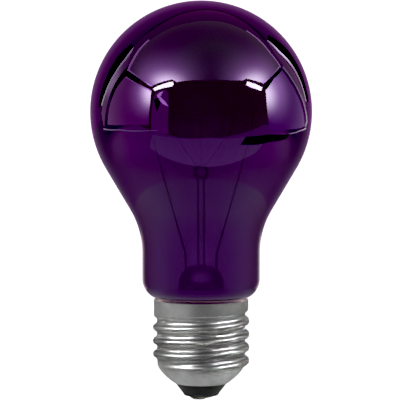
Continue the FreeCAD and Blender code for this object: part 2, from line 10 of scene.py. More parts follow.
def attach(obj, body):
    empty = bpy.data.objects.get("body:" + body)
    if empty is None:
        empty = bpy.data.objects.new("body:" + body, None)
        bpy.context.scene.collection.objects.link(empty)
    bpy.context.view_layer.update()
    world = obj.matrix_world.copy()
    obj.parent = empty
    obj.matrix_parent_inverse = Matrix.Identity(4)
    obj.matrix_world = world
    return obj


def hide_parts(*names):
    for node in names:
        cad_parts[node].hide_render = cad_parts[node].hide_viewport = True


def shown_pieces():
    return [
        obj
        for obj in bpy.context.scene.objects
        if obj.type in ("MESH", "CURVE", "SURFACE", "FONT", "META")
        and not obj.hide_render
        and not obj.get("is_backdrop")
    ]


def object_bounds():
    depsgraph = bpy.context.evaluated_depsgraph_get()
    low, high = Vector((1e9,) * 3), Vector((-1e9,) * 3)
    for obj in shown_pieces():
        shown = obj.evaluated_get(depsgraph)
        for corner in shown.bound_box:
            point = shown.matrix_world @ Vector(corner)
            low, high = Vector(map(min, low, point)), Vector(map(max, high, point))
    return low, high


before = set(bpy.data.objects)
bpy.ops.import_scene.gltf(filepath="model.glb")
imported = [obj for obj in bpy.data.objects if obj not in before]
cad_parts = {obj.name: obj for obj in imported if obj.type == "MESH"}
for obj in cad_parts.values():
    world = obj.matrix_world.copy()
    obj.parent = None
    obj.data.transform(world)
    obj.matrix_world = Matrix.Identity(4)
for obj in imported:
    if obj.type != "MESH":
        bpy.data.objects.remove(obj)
CAD_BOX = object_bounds()

bl_info = {
    "name": "Black light lamp",
    "version": (1, 0, 0),
    "blender": (4, 5, 0),
    "location": "3D View > Sidebar > Lamp",
    "description": "Builds a violet lamp on a screw cap with its stem, wires and light tent",
    "category": "Add Mesh",
}

BODY = "root"
MM = 0.001


# Sizes and colours

def length(name, text, value):
    """A length property, in metres."""
    return bpy.props.FloatProperty(name=name, description=text, default=value, min=0.0,
                                   precision=5, unit="LENGTH", subtype="DISTANCE")


def place(name, text, value):
    """A point property, in metres."""
    return bpy.props.FloatVectorProperty(name=name, description=text, default=value, size=3,
                                         precision=4, unit="LENGTH", subtype="XYZ")


def turn(name, text, degrees):
    """An angle property, given in degrees and kept in radians."""
    return bpy.props.FloatProperty(name=name, description=text, default=math.radians(degrees),
                                   unit="ROTATION", subtype="ANGLE")


def colour(name, text, value):
    """A colour property."""
    return bpy.props.FloatVectorProperty(name=name, description=text, default=value, size=3,
                                         min=0.0, max=1.0, subtype="COLOR")


def share(name, text, value, high):
    """A plain number property, from 0 to its highest value."""
    return bpy.props.FloatProperty(name=name, description=text, default=value, min=0.0, max=high)


def count(name, text, value):
    """A whole number property."""
    return bpy.props.IntProperty(name=name, description=text, default=value, min=3)


class GlassSizes(bpy.types.PropertyGroup):
    """Sizes and finish of the blown glass."""

    globe_radius: length("Globe radius", "Radius of the round top", 0.030)
    cone_angle: turn("Cone angle", "Lean of the cone under the globe", 30.5)
    neck_radius: length("Neck radius", "Radius of the straight neck", 0.016)
    blend_radius: length("Neck blend", "Radius of the hollow curve over the neck", 0.0231)
    neck_foot: length("Neck foot", "Height at which the straight neck ends", 0.033)
    shoulder_radius: length("Shoulder", "Radius of the curve under the neck", 0.0055)
    mouth_radius: length("Mouth radius", "Radius of the tube inside the cap", 0.011)
    curl_radius: length("Curl radius", "Radius between shoulder and mouth", 0.001)
    mouth_end: length("Mouth end", "Height at which the tube ends", 0.0205)
    wall: length("Wall", "Thickness of the glass", 0.0007)
    segments: count("Segments", "Faces round the glass", 224)
    clear_top: length("Clear top", "Height up to which the glass is clearest", 0.045)
    dark_foot: length("Dark foot", "Height from which the glass is darkest", 0.080)
    tint: colour("Glass tint", "What one pass through the clearest glass leaves of white",
                 (0.128, 0.062, 0.183))
    sheen: colour("Reflection tint", "Colour of the coating's reflection", (0.50, 0.055, 0.90))


class CapSizes(bpy.types.PropertyGroup):
    """Sizes and finish of the rolled cap."""

    rim: length("Rim height", "Top edge of the shell", 0.0273)
    skirt_radius: length("Skirt radius", "Radius of the plain band", 0.01285)
    crest_radius: length("Crest radius", "Radius over the thread", 0.01315)
    root_radius: length("Root radius", "Radius in the hollows of the thread", 0.0120)
    pitch: length("Pitch", "Height of one turn of the thread", 0.003629)
    first_crest: length("First crest", "Height of the first crest at the back", 0.0079)
    skirt_foot: length("Skirt foot", "Height from which the plain band is dull", 0.0228)
    bowl_top: length("Bowl top", "Height at which the bowl starts", 0.00935)
    bowl_radius: length("Bowl radius", "Radius of the bowl's curve", 0.0160)
    lip_radius: length("Lip radius", "Radius of the bowl's lower edge", 0.0074)
    lip: length("Lip height", "Height of the bowl's lower edge", 0.0046)
    sheet: length("Sheet", "Thickness of the metal", 0.00035)
    turns: count("Turns", "Crests between the bowl and the skirt", 4)
    columns: count("Columns", "Faces round the cap", 240)
    rows: count("Rows", "Faces up the cap", 190)
    metal: colour("Metal", "Colour of the aluminium", (0.60, 0.60, 0.605))


class StudioSizes(bpy.types.PropertyGroup):
    """The camera and the light tent."""

    camera_place: place("Camera", "Where the camera stands", (-0.0003, -0.5, 0.0838))
    aim: place("Aim", "The point that the camera looks at", (-0.0003, 0.0, 0.0544))
    lens: bpy.props.FloatProperty(name="Lens", description="Focal length in millimetres",
                                  default=166.0, min=1.0)
    white: share("Backdrop", "Brightness of the white backdrop", 1.2, 10.0)
    black: share("Black level", "Light that the exposure takes as black", 0.032, 0.2)


SIZES = {"lamp_glass": GlassSizes, "lamp_cap": CapSizes, "lamp_studio": StudioSizes}


# Materials

class Finish:
    """A material with one principled shader and its procedural detail."""

    def __init__(self, name, **values):
        self.material = bpy.data.materials.new(name)
        self.material.use_nodes = True
        self.tree = self.material.node_tree
        self.shader = next(n for n in self.tree.nodes if n.type == "BSDF_PRINCIPLED")
        self.coordinates = self.add("ShaderNodeTexCoord").outputs["Object"]
        for socket, value in values.items():
            self.shader.inputs[socket.replace("_", " ")].default_value = value

    def add(self, kind, links=(), **settings):
        """A node with its settings, and links from sockets to its inputs by name or number."""
        node = self.tree.nodes.new(kind)
        for key, value in settings.items():
            if hasattr(node, key):
                setattr(node, key, value)
            else:
                node.inputs[key.replace("_", " ")].default_value = value
        for key, source in dict(links).items():
            self.tree.links.new(source, node.inputs[key])
        return node

    def stretched(self, scale):
        """The object's coordinates, scaled differently along each axis."""
        return self.add("ShaderNodeMapping", {"Vector": self.coordinates},
                        Scale=scale).outputs["Vector"]

    def noise(self, scale, detail=2.0, source=None, roughness=0.5):
        """Noise from 0 to 1."""
        return self.add("ShaderNodeTexNoise", {"Vector": source or self.coordinates},
                        Scale=scale, Detail=detail, Roughness=roughness).outputs["Fac"]

    def ramp(self, factor, *stops):
        """Colours that follow a factor, as (place, colour)."""
        node = self.add("ShaderNodeValToRGB", {"Fac": factor})
        elements = node.color_ramp.elements
        while len(elements) < len(stops):
            elements.new(0.5)
        for element, (where, value) in zip(elements, stops):
            element.position = where
            element.color = (*value, 1.0)
        return node.outputs["Color"]

    def spread(self, factor, low, high, bottom=0.3, top=0.7):
        """A factor set between two numbers."""
        return self.add("ShaderNodeMapRange", {"Value": factor}, From_Min=bottom, From_Max=top,
                        To_Min=low, To_Max=high).outputs["Result"]

    def bump(self, height, strength, distance, under=None):
        """A bump in metres, over another one."""
        links = {"Height": height}
        if under:
            links["Normal"] = under
        return self.add("ShaderNodeBump", links, Strength=strength,
                        Distance=distance).outputs["Normal"]

    def feed(self, **sources):
        """Links sources to the shader's sockets."""
        for socket, source in sources.items():
            self.tree.links.new(source, self.shader.inputs[socket.replace("_", " ")])
        return self.material


def violet_glass(sizes):
    """Dark violet glass with a mirror-like violet shine."""
    finish = Finish("violet_glass", Roughness=0.0, IOR=1.86, Transmission_Weight=1.0,
                    Specular_Tint=(*sizes.sheen, 1.0), Coat_Weight=0.9, Coat_IOR=1.5,
                    Coat_Roughness=0.0)
    height = finish.add("ShaderNodeSeparateXYZ", {"Vector": finish.coordinates}).outputs["Z"]
    cloud = finish.noise(420.0, 3.0, roughness=0.6)
    tint = Vector(sizes.tint)
    thin = finish.spread(height, 1.0, 0.0, sizes.clear_top, sizes.dark_foot)
    patchy = math_node(finish.tree, "MULTIPLY_ADD", cloud, 0.5, -0.25)
    shade = finish.ramp(math_node(finish.tree, "ADD", thin, patchy),
                        (0.0, tint * 0.2), (0.55, tint * 0.85), (1.0, tint))
    waves = finish.noise(55.0, 1.0)
    return finish.feed(Base_Color=shade, Normal=finish.bump(waves, 0.25, 0.00004))


def clear_glass():
    """The clear glass of the stem."""
    finish = Finish("stem_glass", Roughness=0.0, IOR=1.5, Transmission_Weight=1.0)
    cords = finish.noise(180.0, 2.0, finish.stretched((1.0, 1.0, 0.25)))
    shade = finish.ramp(cords, (0.3, (0.93, 0.96, 0.94)), (0.7, (0.98, 0.99, 0.98)))
    return finish.feed(Base_Color=shade, Normal=finish.bump(cords, 0.3, 0.0001))


def cap_metal(sizes):
    """Satin aluminium, rolled and handled."""
    finish = Finish("cap_metal", Metallic=1.0)
    metal = Vector(sizes.metal)
    grain = finish.noise(900.0, 3.0, finish.stretched((1.0, 1.0, 6.0)))
    cloud = finish.noise(260.0, 4.0, roughness=0.65)
    shade = finish.ramp(cloud, (0.3, metal * 0.82), (0.62, metal * 1.06))
    height = finish.add("ShaderNodeSeparateXYZ", {"Vector": finish.coordinates}).outputs["Z"]
    over = finish.spread(height, 0.0, 0.06, sizes.skirt_foot - MM, sizes.skirt_foot)
    under = finish.spread(height, 0.14, 0.0, sizes.bowl_top - 0.85 * MM, sizes.bowl_top - 0.05 * MM)
    satin = math_node(finish.tree, "ADD", over, under)
    rough = math_node(finish.tree, "ADD", satin, finish.spread(cloud, 0.34, 0.30))
    fine = finish.bump(grain, 0.2, 0.00002)
    return finish.feed(Base_Color=shade, Roughness=rough,
                       Normal=finish.bump(cloud, 0.15, 0.00004, fine))


def plain_metal(name, light, dark, low, high):
    """A metal whose colour and roughness change in soft clouds."""
    finish = Finish(name, Metallic=1.0)
    cloud = finish.noise(900.0, 4.0, roughness=0.6)
    return finish.feed(Base_Color=finish.ramp(cloud, (0.3, dark), (0.65, light)),
                       Roughness=finish.spread(cloud, high, low),
                       Normal=finish.bump(cloud, 0.35, 0.00004))


def black_glass():
    """Moulded black glass."""
    finish = Finish("black_glass", IOR=1.5)
    cloud = finish.noise(500.0, 4.0, roughness=0.6)
    return finish.feed(Base_Color=finish.ramp(cloud, (0.3, (0.034, 0.034, 0.034)),
                                              (0.7, (0.046, 0.046, 0.046))),
                       Roughness=finish.spread(cloud, 0.35, 0.5),
                       Normal=finish.bump(cloud, 0.3, 0.00008))


def cement():
    """Baked cement with fine grit."""
    finish = Finish("cement", Roughness=0.85, IOR=1.45)
    grit = finish.noise(1800.0, 6.0, roughness=0.7)
    return finish.feed(Base_Color=finish.ramp(grit, (0.3, (0.48, 0.36, 0.33)),
                                              (0.7, (0.72, 0.58, 0.54))),
                       Normal=finish.bump(grit, 0.6, 0.0001))


# Meshes

def new_piece(name, verts, faces, material, slot, *nodes):
    """A smooth piece on the lamp's body that stands for nodes of the frame."""
    mesh = bpy.data.meshes.new(name)
    mesh.from_pydata(verts, [], faces)
    mesh.update()
    mesh.polygons.foreach_set("use_smooth", [True] * len(mesh.polygons))
    piece = bpy.data.objects.new(name, mesh)
    bpy.context.scene.collection.objects.link(piece)
    mesh.materials.append(material)
    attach(piece, BODY)
    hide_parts(*nodes)
    return piece


def dress(material, *nodes):
    """A frame node's own mesh with a better finish."""
    for name in nodes:
        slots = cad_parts[name].data.materials
        slots.clear()
        slots.append(material)


def arc(centre, radius, start, end, steps):
    """Points of an arc, without its first one."""
    angles = [start + (end - start) * (step + 1) / steps for step in range(steps)]
    return [(centre[0] + radius * math.cos(a), centre[1] + radius * math.sin(a)) for a in angles]


def run(start, end, steps):
    """Points of a straight run, without its first one."""
    return [tuple(a + (b - a) * (step + 1) / steps for a, b in zip(start, end))
            for step in range(steps)]


def revolve(profile, segments):
    """Vertices and faces of a closed profile turned about the axis; a zero radius is a pole."""
    verts, rows = [], []
    for radius, height in profile:
        if radius < 1e-9:
            rows.append([len(verts)] * segments)
            verts.append((0.0, 0.0, height))
            continue
        rows.append(list(range(len(verts), len(verts) + segments)))
        for step in range(segments):
            angle = 2 * math.pi * step / segments
            verts.append((radius * math.cos(angle), radius * math.sin(angle), height))
    faces = []
    for upper, lower in zip(rows, rows[1:] + rows[:1]):
        if upper[0] == upper[1] and lower[0] == lower[1]:
            continue
        for step in range(segments):
            after = (step + 1) % segments
            corners = (upper[after], upper[step], lower[step], lower[after])
            faces.append(list(dict.fromkeys(corners)))
    return verts, faces


def glass_profile(sizes, depth):
    """One side of the glass from the top to the mouth, the given depth inside its surface."""
    lean = sizes.cone_angle
    top = CAD_BOX[1].z
    globe = sizes.globe_radius
    centre = top - globe
    blend_x = sizes.neck_radius + sizes.blend_radius
    tangent = (globe * math.cos(lean), centre - globe * math.sin(lean))
    blend_z = (tangent[1]
               + ((blend_x - tangent[0]) * math.cos(lean) - sizes.blend_radius) / math.sin(lean))
    shoulder_x = sizes.neck_radius - sizes.shoulder_radius
    curl_x = sizes.mouth_radius + sizes.curl_radius
    reach = sizes.shoulder_radius + sizes.curl_radius
    fall = math.asin(math.sqrt(reach ** 2 - (curl_x - shoulder_x) ** 2) / reach)
    curl_z = sizes.neck_foot - reach * math.sin(fall)
    points = [(0.0, top - depth)]
    points += arc((0, centre), globe - depth, math.pi / 2, -lean, 90)
    blend_start = (blend_x - (sizes.blend_radius + depth) * math.cos(lean),
                   blend_z + (sizes.blend_radius + depth) * math.sin(lean))
    points += run(points[-1], blend_start, 12)
    points += arc((blend_x, blend_z), sizes.blend_radius + depth, math.pi - lean, math.pi, 24)
    points += run(points[-1], (sizes.neck_radius - depth, sizes.neck_foot), 6)
    points += arc((shoulder_x, sizes.neck_foot), sizes.shoulder_radius - depth, 0, -fall, 18)
    points += arc((curl_x, curl_z), sizes.curl_radius + depth, math.pi - fall, math.pi, 8)
    points += run(points[-1], (sizes.mouth_radius - depth, sizes.mouth_end), 4)
    return points


def soft_step(amount):
    """Goes from 0 to 1 as the amount does, level at both ends."""
    amount = max(0.0, min(1.0, amount))
    return amount * amount * (3 - 2 * amount)


def knuckle(turns, pitch, height):
    """The round thread's height, from 0 in a hollow to 1 on a crest at whole turns."""
    quarter = pitch / 4
    radius = (quarter ** 2 + (height / 2) ** 2) / height
    away = abs(turns - round(turns)) * pitch
    if away < quarter:
        return (height - radius + math.sqrt(radius ** 2 - away ** 2)) / height
    away = pitch / 2 - away
    return (radius - math.sqrt(radius ** 2 - away ** 2)) / height


def bowl_centre(sizes):
    """The centre of the bowl's arc."""
    lip = Vector((sizes.lip_radius, sizes.lip))
    half = (Vector((sizes.root_radius, sizes.bowl_top)) - lip) / 2
    inward = Vector((-half.y, half.x)).normalized()
    return lip + half + inward * math.sqrt(sizes.bowl_radius ** 2 - half.length_squared)


THREAD_START = math.radians(100)
THREAD_GROWTH = math.radians(130)
THREAD_RUNOUT = math.radians(60)
CREST_STEP = 0.9 * MM
SKIRT_MERGE = math.radians(120)
SHOULDER_ROUND = 0.12 * MM
CRISP_ANGLE = math.radians(60)


def shell_radius(sizes, height, angle):
    """The outer radius of the shell at a height and at a turn from the back."""
    core = sizes.root_radius
    rise = sizes.crest_radius - core
    skirt = (sizes.skirt_radius - core) / rise
    turns = (height - sizes.first_crest) / sizes.pitch - angle / (2 * math.pi)
    past_last = turns - sizes.turns
    left = soft_step((2 * math.pi - angle) / THREAD_RUNOUT)
    merge = soft_step(angle / SKIRT_MERGE)
    amount = knuckle(turns, sizes.pitch, rise)
    if past_last > -0.5:
        amount *= 1 - (1 - skirt) * merge * soft_step(past_last * 2 + 1)
    if turns < -0.5:
        amount = 0.0
    elif turns < 0.5:
        amount *= soft_step((angle - THREAD_START) / THREAD_GROWTH)
    elif past_last >= 0:
        fade = 1 - soft_step(past_last * sizes.pitch / CREST_STEP)
        amount = skirt + (1 - skirt) * (1 - merge) * left * fade
    elif past_last > -1:
        fade = 1 - soft_step((past_last + 1) * sizes.pitch / CREST_STEP)
        amount = (skirt + (1 - skirt) * fade) * (1 - left) + amount * left
    centre = bowl_centre(sizes)
    depth = max(centre.y - height, 0.0)
    bowl = centre.x + math.sqrt(sizes.bowl_radius ** 2 - depth ** 2)
    base = (core + bowl) / 2 - math.hypot((core - bowl) / 2, SHOULDER_ROUND)
    return base + rise * amount


def shell_mesh(sizes):
    """Vertices and faces of the rolled shell, outside and inside."""
    rows, columns = sizes.rows, sizes.columns
    nudge = 1e-6
    outer, inner = [], []
    for row in range(rows + 1):
        height = sizes.lip + (sizes.rim - sizes.lip) * row / rows
        for column in range(columns):
            angle = 2 * math.pi * column / columns
            low, high = max(height - nudge, sizes.lip), min(height + nudge, sizes.rim)
            radius = shell_radius(sizes, height, angle)
            rise = shell_radius(sizes, high, angle) - shell_radius(sizes, low, angle)
            slope = rise / (high - low)
            normal = math.hypot(1, slope)
            spin = angle + math.pi / 2
            outer.append((radius * math.cos(spin), radius * math.sin(spin), height))
            reach = radius - sizes.sheet / normal
            inner.append((reach * math.cos(spin), reach * math.sin(spin),
                          height + sizes.sheet * slope / normal))
    offset = len(outer)
    faces = []
    for row in range(rows):
        for column in range(columns):
            after = (column + 1) % columns
            a, b = row * columns + column, row * columns + after
            c, d = a + columns, b + columns
            faces.append((a, b, d, c))
            faces.append((offset + b, offset + a, offset + c, offset + d))
    for column in range(columns):
        after = (column + 1) % columns
        top = rows * columns
        faces.append((top + column, top + after, offset + top + after, offset + top + column))
        faces.append((after, column, offset + column, offset + after))
    return outer + inner, faces


def sharpen(piece):
    """Keeps the shading crisp over edges that bend sharply."""
    bm = bmesh.new()
    bm.from_mesh(piece.data)
    for edge in bm.edges:
        if len(edge.link_faces) == 2 and edge.calc_face_angle() > CRISP_ANGLE:
            edge.smooth = False
    bm.to_mesh(piece.data)
    bm.free()


# Operators

class LAMP_OT_glass(bpy.types.Operator):
    """Blow the violet glass"""

    bl_idname = "lamp.glass"
    bl_label = "Glass"

    def execute(self, context):
        sizes = context.scene.lamp_glass
        outer = glass_profile(sizes, 0.0)
        inner = glass_profile(sizes, sizes.wall)
        verts, faces = revolve(outer + inner[::-1], sizes.segments)
        piece = new_piece("glass_envelope", verts, faces, violet_glass(sizes), "violet_glass",
                          "glass_bulb")
        sharpen(piece)
        return {"FINISHED"}


class LAMP_OT_shell(bpy.types.Operator):
    """Roll the screw shell"""

    bl_idname = "lamp.shell"
    bl_label = "Screw shell"

    def execute(self, context):
        sizes = context.scene.lamp_cap
        verts, faces = shell_mesh(sizes)
        piece = new_piece("rolled_shell", verts, faces, cap_metal(sizes), "cap_metal",
                          "screw_shell")
        sharpen(piece)
        return {"FINISHED"}


class LAMP_OT_base(bpy.types.Operator):
    """Finish the insulator, the contact, the solder and the cement"""

    bl_idname = "lamp.base"
    bl_label = "Base"

    def execute(self, context):
        dress(black_glass(), "base_insulator")
        dress(plain_metal("contact_brass", (0.56, 0.50, 0.38), (0.30, 0.26, 0.19), 0.3, 0.5),
              "centre_contact")
        dress(plain_metal("solder", (0.50, 0.50, 0.51), (0.22, 0.22, 0.23), 0.3, 0.55),
              "centre_solder", "side_solder")
        dress(cement(), "capping_cement")
        return {"FINISHED"}


class LAMP_OT_stem(bpy.types.Operator):
    """Finish the clear glass stem"""

    bl_idname = "lamp.stem"
    bl_label = "Stem"

    def execute(self, context):
        dress(clear_glass(), "stem_flare", "exhaust_tube", "arbor_rod")
        return {"FINISHED"}


class LAMP_OT_wires(bpy.types.Operator):
    """Finish the leads, the supports and the filament"""

    bl_idname = "lamp.wires"
    bl_label = "Wires"

    def execute(self, context):
        dress(plain_metal("nickel_wire", (0.50, 0.48, 0.45), (0.28, 0.26, 0.24), 0.25, 0.45),
              "inner_lead_left", "inner_lead_right", "support_wire_left",
              "support_wire_middle", "support_wire_right")
        dress(plain_metal("copper_wire", (0.72, 0.40, 0.26), (0.40, 0.20, 0.13), 0.25, 0.5),
              "seal_wire_left", "seal_wire_right", "contact_lead", "fuse_wire", "side_lead")
        dress(plain_metal("filament_wire", (0.26, 0.26, 0.27), (0.12, 0.12, 0.13), 0.35, 0.6),
              "filament")
        return {"FINISHED"}


# The studio

def glow(name, tint, strength, spots=()):
    """A light's material: an even glow with soft spots.

    Each spot is (place, full, end, tint, strength): full up to one distance, gone at the other.
    """
    material = bpy.data.materials.new(name)
    material.use_nodes = True
    tree = material.node_tree
    tree.nodes.clear()
    end = tree.nodes.new("ShaderNodeOutputMaterial")
    light = tree.nodes.new("ShaderNodeEmission")
    even = Vector(tint) * strength
    tree.links.new(light.outputs[0], end.inputs["Surface"])
    if not spots:
        light.inputs["Color"].default_value = (*even, 1.0)
        return material
    where = tree.nodes.new("ShaderNodeTexCoord").outputs["Object"]
    total = even
    for spot, full, gone, spot_tint, power in spots:
        away = vector_node(tree, "DISTANCE", where, spot).outputs["Value"]
        fade = tree.nodes.new("ShaderNodeMapRange")
        fade.interpolation_type = "SMOOTHERSTEP"
        for key, value in zip(("From Min", "From Max", "To Min", "To Max"),
                              (full, gone, 1.0, 0.0)):
            fade.inputs[key].default_value = value
        tree.links.new(away, fade.inputs["Value"])
        shape = math_node(tree, "POWER", fade.outputs["Result"], 2.0)
        patch = vector_node(tree, "SCALE", Vector(spot_tint) * power)
        tree.links.new(shape, patch.inputs["Scale"])
        total = vector_node(tree, "ADD", patch.outputs[0], total).outputs[0]
    tree.links.new(total, light.inputs["Color"])
    return material


def vector_node(tree, operation, *values):
    """A vector math node, fed from sockets and plain vectors."""
    node = tree.nodes.new("ShaderNodeVectorMath")
    node.operation = operation
    for socket, value in zip(node.inputs, values):
        if isinstance(value, bpy.types.NodeSocket):
            tree.links.new(value, socket)
        else:
            socket.default_value = value
    return node


def math_node(tree, operation, *values):
    """A math node's output, from sockets and plain numbers."""
    node = tree.nodes.new("ShaderNodeMath")
    node.operation = operation
    for socket, value in zip(node.inputs, values):
        if isinstance(value, bpy.types.NodeSocket):
            tree.links.new(value, socket)
        else:
            socket.default_value = value
    return node.outputs[0]


def receivers(name, *pieces):
    """A collection of the pieces that some lights shine on."""
    group = bpy.data.collections.new(name)
    for piece in pieces:
        group.objects.link(piece)
    return group


def card(name, corners, material, lit, faces=None):
    """A light of the tent, which the camera doesn't see: one flat face unless told otherwise."""
    mesh = bpy.data.meshes.new(name)
    mesh.from_pydata(corners, [], faces or [tuple(range(len(corners)))])
    mesh.update()
    mesh.materials.append(material)
    panel = bpy.data.objects.new(name, mesh)
    bpy.context.scene.collection.objects.link(panel)
    panel.visible_camera = panel.visible_transmission = panel.visible_shadow = False
    panel.light_linking.receiver_collection = lit
    panel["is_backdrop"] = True
    return panel


def aimed(where, aim):
    """The placing of a light or a camera that looks from one point at another."""
    where, aim = Vector(where), Vector(aim)
    turned = (aim - where).to_track_quat("-Z", "Y").to_matrix().to_4x4()
    return Matrix.Translation(where) @ turned


def rectangle(half, low, high):
    """Corners of a rectangle from minus half to half one way and from low to high the other."""
    return [(-half, low), (half, low), (half, high), (-half, high)]


def upright(x, *corners):
    """Corners (y, z) on the wall at x."""
    return [(x, y, z) for y, z in corners]


def level(z, *corners):
    """Corners (x, y) at a height."""
    return [(x, y, z) for x, y in corners]


def facing(y, *corners):
    """Corners (x, z) on the wall at y."""
    return [(x, y, z) for x, z in corners]


# The light tent. The globe mirrors it, so a panel is given by the outline that it shows there, in
# points of a picture that is 400 points wide and high, counted from its upper left corner.

PICTURE = 400
SENSOR = 36.0
ACROSS, UP = 0, 2                  # the axis that a wall, or the roof and the table, stand at
WALL = 0.26
ROOF = 0.208
BACK = 0.6
STEP = 0.001                       # how far one panel lies before another
SHEET = 0.0002                     # the same for the sheets on the table

ROOF_OUTLINE = (
    (129, 71), (134, 60), (140, 50), (160, 33), (190, 22.5), (208, 20.5), (225, 22.5), (246, 31),
    (258, 40), (270, 53.5), (280, 67), (263.5, 83.5), (256, 81), (246, 78.5), (243, 80.5),
    (230, 80.5), (208, 80.5), (190, 80.5), (177, 82), (172, 79.5), (160, 82.5), (151, 86.5))
STRIP_LEFT = (
    (153, 88.5), (160, 85), (172.5, 81.5), (174, 84), (172, 86.5), (164, 88), (154.5, 91))
STRIP_RIGHT = ((247, 81.5), (256, 84), (262.5, 87.5), (261, 91), (252, 88), (246, 85))
ROOF_LINE_LEFT = (
    (126.8, 71), (132.2, 59.3), (138.7, 49), (148.7, 39.2), (149.8, 40), (139.9, 50.3),
    (134, 60.4), (128.7, 71.4))
ROOF_LINE_RIGHT = (
    (246, 30), (259, 39.3), (271.3, 53.4), (281.2, 66.8), (280.1, 67.2), (270.3, 53.9),
    (258.3, 40.2), (246.2, 31))
ROOF_SIDE_LEFT = ((128.8, 71.2), (151, 86.6), (152.2, 86), (129.4, 69.9))
ROOF_SIDE_RIGHT = ((280.1, 67.2), (263.6, 83.7), (262.1, 83), (279.2, 66))
ROOF_BACK = (
    (128.4, 68.5), (128.2, 64.9), (130.5, 55.3), (134.1, 46.6), (142.1, 37.5), (152.4, 30.3),
    (165.7, 21.8), (180.5, 14.6), (195, 11.1), (208, 10.2), (224.3, 12.6), (239.4, 19.4),
    (254.3, 30.8), (265.4, 42.6), (275.5, 55.5), (282.6, 65.4), (269.7, 59.6), (249.6, 44.6),
    (224.7, 30), (190, 30), (160.5, 41.6), (140.3, 59.5), (131.2, 71.5))
DARK_ARC = (
    (135.9, 43.4), (151.9, 28.8), (166.6, 19.7), (180.4, 13), (194.9, 9.5), (208, 8.5),
    (224.4, 11), (239.4, 17), (254.1, 27.5), (265, 38.3), (264.5, 40.8), (253.5, 29.5),
    (239.3, 19), (224.1, 12.6), (207.9, 10.3), (195.1, 11.3), (180.7, 14.6), (166.5, 21.5),
    (153, 30.7), (137.8, 44.9))
LEFT_RIM = ((101.1, 105.6), (105.5, 91), (114.3, 73.3), (124.6, 58.7), (133.4, 47))
DARK_LEFT = ((132, 44), (118.7, 55.7), (107, 76.3), (100.4, 95.4), (98.5, 108.8)) + LEFT_RIM
PALE_LEFT = LEFT_RIM + ((134.5, 48.5), (126, 60), (115.8, 74.5), (107, 92), (102.3, 106))
LEFT_BAND = (
    (134, 49), (126, 60.5), (115.8, 75), (107, 92.5), (102.4, 107), (101.5, 113), (103, 124),
    (104.5, 127.5), (106, 112), (109, 98), (115, 84), (121.5, 74), (128, 66))
WINDOW_EDGE = ((126, 76), (131, 79.5), (140, 84.5), (151.5, 90.5))
LEFT_WINDOW = WINDOW_EDGE + (
    (150.5, 100), (149.3, 112), (148.7, 125), (130, 125), (107.5, 124.6), (108.5, 112),
    (111.5, 99.5), (117.5, 86))
WINDOW_TOP_LEFT = WINDOW_EDGE + ((151.3, 92), (139.6, 85.8), (130.6, 80.7), (125.2, 77))
LEFT_GAP = (
    (154, 96), (157, 92), (166, 89.5), (168.5, 95), (168.5, 110), (168.5, 134), (152, 133))
GAP_DARK = ((154.2, 99.2), (159.4, 97.9), (159.9, 104.4), (157, 111.1), (155, 104.4))
GAP_LIGHT = (
    (160.7, 91.9), (163.3, 91.4), (160.2, 96.6), (165.9, 102.3), (168.6, 106.5), (163.3, 104.4),
    (158.6, 99.2), (156.8, 95.3))
RIGHT_RIM = ((306.5, 101.4), (303.3, 88), (293.3, 66), (280, 51.3), (267.6, 39.6))
DARK_RIGHT = ((268.4, 35.2), (286, 48.4), (300, 70.4), (306.5, 91), (308.5, 102)) + RIGHT_RIM
PALE_RIGHT = RIGHT_RIM + ((267, 41), (279, 53), (292.1, 67.3), (302.2, 88.5), (305.5, 101.5))
RIGHT_BAND = (
    (266.5, 41.5), (278.5, 53.5), (291.3, 68), (301.5, 89), (305, 101.7), (306, 106.8),
    (305.3, 107), (300.5, 93.7), (293, 80), (283, 66), (276, 57))
RIGHT_LINE = (
    (283, 66), (293, 80), (300.5, 93.7), (305.3, 107), (307.5, 122), (306, 127), (304.7, 126),
    (306.3, 121.3), (304.2, 107), (299.3, 94), (292, 80.7), (282, 67.5))
RIGHT_WINDOW = (
    (265.5, 90.5), (273.5, 79), (282, 70), (289.5, 81), (296.5, 93.5), (301.5, 106), (304.5, 126),
    (290, 129.5), (269, 131.5), (267.5, 115), (266.5, 103))
TABLE_FRONT = (
    (149.5, 148), (159.8, 154.9), (190.3, 165.4), (220.3, 165.9), (248, 157), (256, 153),
    (268, 134), (243, 136.5), (210, 137.5), (169, 136.5), (152, 134))
TABLE_WEDGE = (
    (240.5, 144.5), (246, 136.6), (268, 134.1), (291, 133.7), (287, 138.8), (270.1, 142),
    (254.1, 144.8))
FOOT_LINE_LEFT = (
    (103.5, 128.3), (120, 129.1), (150, 129.9), (158, 129.9), (158, 131.2), (150, 131.2),
    (120, 130.4), (103.5, 129.7))
FOOT_LINE_RIGHT = (
    (306, 127.4), (300, 130.2), (289, 133.1), (289, 134.3), (300, 131.4), (306.3, 128.6))

WHITE = (1.0, 1.0, 1.0)
BLACK = (0.0, 0.0, 0.0)
SOFT = (1.0, 0.65, 0.92)           # mirrored as the glass's own violet
PALE = (1.0, 0.85, 1.0)            # mirrored as a paler violet
FLASH = (0.54, 0.94, 0.40)         # mirrored as white
SHADE = (0.61, 1.0, 0.40)          # mirrored as a neutral dark
EDGE = (0.80, 0.46, 1.0)           # violet where the glass is seen at a slant
DEEP = (0.90, 0.38, 1.0)           # a deeper violet there

RING_SIDES = 48
COLLAR_RADIUS = 0.035
COLLAR_TOP = 0.041
HEM_INSIDE = 0.0132
HEM_OUTSIDE = 0.021
HEM_HEIGHT = 0.0268
POOL_FULL, POOL_END = 0.14, 0.36   # how far a pool of light stays full, and where it ends
WIDE_HALF = 2.0                    # half the width of the walls behind and before the lamp
WALL_FOOT, WALL_TOP = -0.4, 1.2
TABLE_HALF = 0.9
TABLE_EDGE = -0.15
GLOW_EDGE = -0.175


